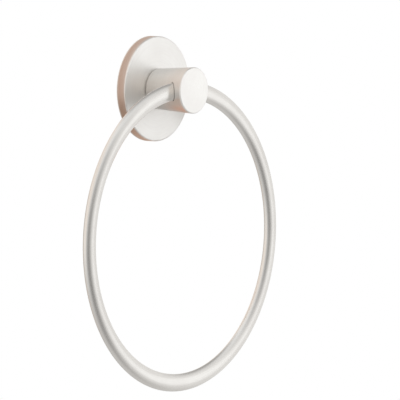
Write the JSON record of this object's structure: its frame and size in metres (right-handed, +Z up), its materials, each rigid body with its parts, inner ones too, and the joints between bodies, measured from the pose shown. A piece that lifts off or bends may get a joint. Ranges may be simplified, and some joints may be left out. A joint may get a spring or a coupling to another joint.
{
  "type": "towel ring",
  "caption": "Wall-mounted towel ring: a hoop of satin metal rod held through the tip of a short round post on a round cover plate with a concealed bracket.",
  "frame": {"origin": "centre of the bracket's back face, on the wall and on the post's axis", "axes": "+Y into the wall, +Z up, +X to the right for someone who faces the wall; the post stands out along -Y"},
  "size_m": [0.159, 0.029, 0.1815],
  "materials": {
    "satin_nickel": "satin brushed nickel plate",
    "zinc_plate": "dull zinc plate",
    "screw_steel": "plain hardened steel"
  },
  "bodies": {
    "root": {"ring": "satin_nickel", "post": "satin_nickel", "cover_plate": "satin_nickel", "wall_bracket": "zinc_plate", "post_set_screw": "screw_steel", "ring_set_screw": "screw_steel"}
  },
  "joints": []
}
